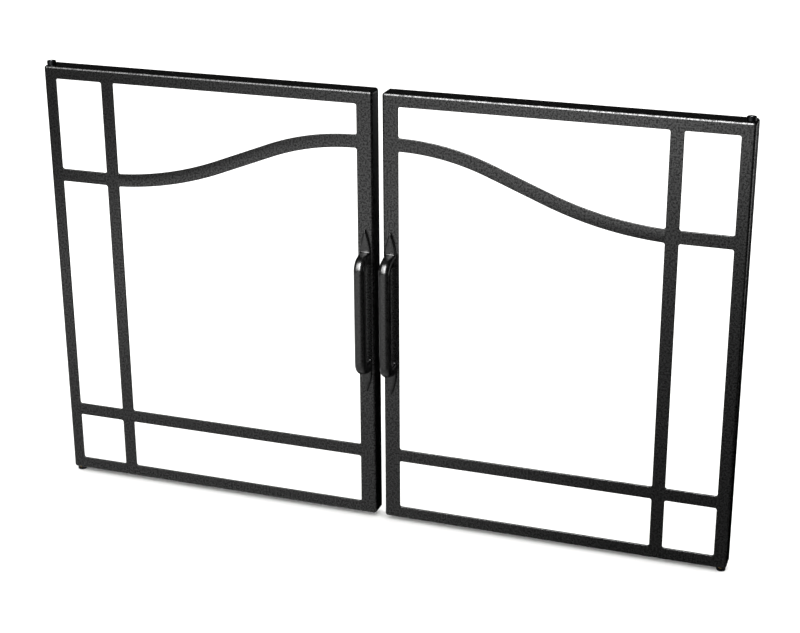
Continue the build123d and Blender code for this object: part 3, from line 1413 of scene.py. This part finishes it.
@dataclass(frozen=True)
class Patch:
    """A soft-edged rectangle of brightness on the floor. Sizes in metres."""

    across: tuple[float, float]
    along: tuple[float, float]
    fade: tuple[float, float]
    brightness: float

    def shade(
        self, tree: bpy.types.NodeTree, axes: Sequence[bpy.types.NodeSocket]
    ) -> bpy.types.NodeSocket:
        """Add the patch to the glow's material.

        Args:
            tree: the material's tree.
            axes: the X and Y coordinates.

        Returns:
            The patch's brightness, which falls to nothing over the fade.
        """
        shares = []
        for axis, (start, stop), fade, most in zip(
            axes, (self.across, self.along), self.fade, (self.brightness, 1.0)
        ):
            offset = add_node(
                tree, "ShaderNodeMath", {"operation": "SUBTRACT", 1: (start + stop) / 2}, {0: axis}
            )
            distance = add_node(
                tree, "ShaderNodeMath", {"operation": "ABSOLUTE"}, {0: offset.outputs[0]}
            )
            half = (stop - start) / 2
            inside = add_node(
                tree,
                "ShaderNodeMapRange",
                {
                    "interpolation_type": "SMOOTHSTEP",
                    "From Min": half + fade,
                    "From Max": half - fade,
                    "To Max": most,
                },
                {"Value": distance.outputs[0]},
            )
            shares.append(inside.outputs[0])
        product = add_node(
            tree, "ShaderNodeMath", {"operation": "MULTIPLY"}, {0: shares[0], 1: shares[1]}
        )
        return product.outputs[0]


@dataclass
class FloorGlow:
    """The bright floor as gloss sees it: brighter and dimmer patches, as bounce cards give."""

    reach: float = 6.0
    depth: float = 0.002
    patches: tuple[Patch, ...] = (
        Patch((-1.05, 0.15), (-2.6, 0.01), (0.22, 0.012), 0.72),
        Patch((-1.0, -0.05), (-2.6, -0.55), (0.2, 0.4), 0.85),
        Patch((-0.3, 0.45), (-2.7, -1.7), (0.25, 0.25), 2.5),
        Patch((0.2, 0.6), (-1.7, 0.01), (0.2, 0.012), 0.15),
        Patch((-2.0, -0.25), (0.04, 4.0), (0.12, 0.015), 1.5),
        Patch((1.2, 3.2), (0.04, 4.0), (0.12, 0.015), 1.5),
    )

    def lay(self) -> None:
        """Lay the glow just under the floor, where nothing but gloss sees it."""
        work = bmesh.new()
        bmesh.ops.create_grid(work, x_segments=4, y_segments=4, size=self.reach)
        bmesh.ops.translate(work, verts=work.verts[:], vec=(0, 0, -self.depth))
        sheet = new_object("floor_glow", mesh_from_bmesh(work, "floor_glow"))
        sheet.data.materials.append(self.material())
        for ray in ("camera", "diffuse", "transmission", "volume_scatter", "shadow"):
            setattr(sheet, "visible_" + ray, False)

    def material(self) -> bpy.types.Material:
        """Build the glow's material from its patches.

        Returns:
            The material.
        """
        material = bpy.data.materials.new("floor_glow")
        material.use_nodes = True
        tree = material.node_tree
        tree.nodes.clear()
        place = add_node(tree, "ShaderNodeTexCoord").outputs["Object"]
        axes = add_node(tree, "ShaderNodeSeparateXYZ", links={0: place}).outputs
        total = self.patches[0].shade(tree, axes[:2])
        for patch in self.patches[1:]:
            total = add_node(
                tree,
                "ShaderNodeMath",
                {"operation": "ADD"},
                {0: total, 1: patch.shade(tree, axes[:2])},
            ).outputs[0]
        glow = add_node(tree, "ShaderNodeEmission", links={"Strength": total})
        add_node(tree, "ShaderNodeOutputMaterial", links={"Surface": glow.outputs[0]})
        return material


@dataclass
class Studio:
    """Pale floor, soft light and the camera."""

    paper: bpy.types.Material
    floor_reach: float = 14.0
    air: float = 2.2
    mirrored_air: float = 0.02
    lamps: tuple[Softbox, ...] = (
        Softbox("front_softbox", (-0.15, -1.9, 1.75), (-0.1, 0.0, 0.5), (1.25, 2.3), 30.0),
        Softbox("side_softbox", (-1.35, -1.9, 1.75), (-0.4, 0.0, 0.5), (1.0, 2.3), 10.0),
    )
    camera_place: Point = (0.68001, -1.85382, 1.03472)
    camera_turn_degrees: Point = (68.857, 0.263, 19.303)
    lens: float = 79.48

    def build(self) -> None:
        """Set up the whole studio."""
        self.floor()
        FloorGlow().lay()
        self.surroundings()
        for lamp in self.lamps:
            lamp.light()
        self.camera()
        bpy.context.scene.view_settings.view_transform = "Standard"

    def floor(self) -> None:
        """Lay the floor, which shows and takes light but isn't mirrored in the paint."""
        work = bmesh.new()
        bmesh.ops.create_grid(work, x_segments=8, y_segments=8, size=self.floor_reach)
        ground = new_object("studio_floor", mesh_from_bmesh(work, "studio_floor"))
        ground.data.materials.append(self.paper)
        ground.visible_glossy = False

    def surroundings(self) -> None:
        """White air for the floor and backdrop, which gloss sees as nearly dark."""
        world = bpy.data.worlds.new("studio_air")
        world.use_nodes = True
        tree = world.node_tree
        tree.nodes.clear()
        mirrored = add_node(tree, "ShaderNodeBackground", {"Strength": self.mirrored_air})
        air = add_node(tree, "ShaderNodeBackground", {"Strength": self.air})
        ray = add_node(tree, "ShaderNodeLightPath")
        mix = add_node(
            tree,
            "ShaderNodeMixShader",
            links={
                0: ray.outputs["Is Glossy Ray"],
                1: air.outputs[0],
                2: mirrored.outputs[0],
            },
        )
        add_node(tree, "ShaderNodeOutputWorld", links={"Surface": mix.outputs[0]})
        bpy.context.scene.world = world

    def camera(self) -> None:
        """Stand the camera to the right of the doors and above them."""
        data = bpy.data.cameras.new("studio_camera")
        data.lens = self.lens
        camera = bpy.data.objects.new("studio_camera", data)
        camera.location = self.camera_place
        camera.rotation_euler = [math.radians(turn) for turn in self.camera_turn_degrees]
        bpy.context.scene.collection.objects.link(camera)
        bpy.context.scene.camera = camera


def main() -> None:
    """Build the doors and the studio."""
    shop = Workshop()
    for side in Side:
        handle = PullHandle(side, shop)
        sub_assemblies = (
            DoorLeaf(side, shop),
            handle,
            HandleFastenings(side, shop, handle),
            SprungPivot(side, shop),
            FixedPivots(side, shop),
        )
        for sub_assembly in sub_assemblies:
            sub_assembly.build()
            log.info("%s%s is done", side.prefix, type(sub_assembly).__name__)
    Studio(shop.finishes.paper).build()


if __name__ == "__main__":
    logging.basicConfig(level=logging.INFO, format="%(name)s: %(message)s")
    main()
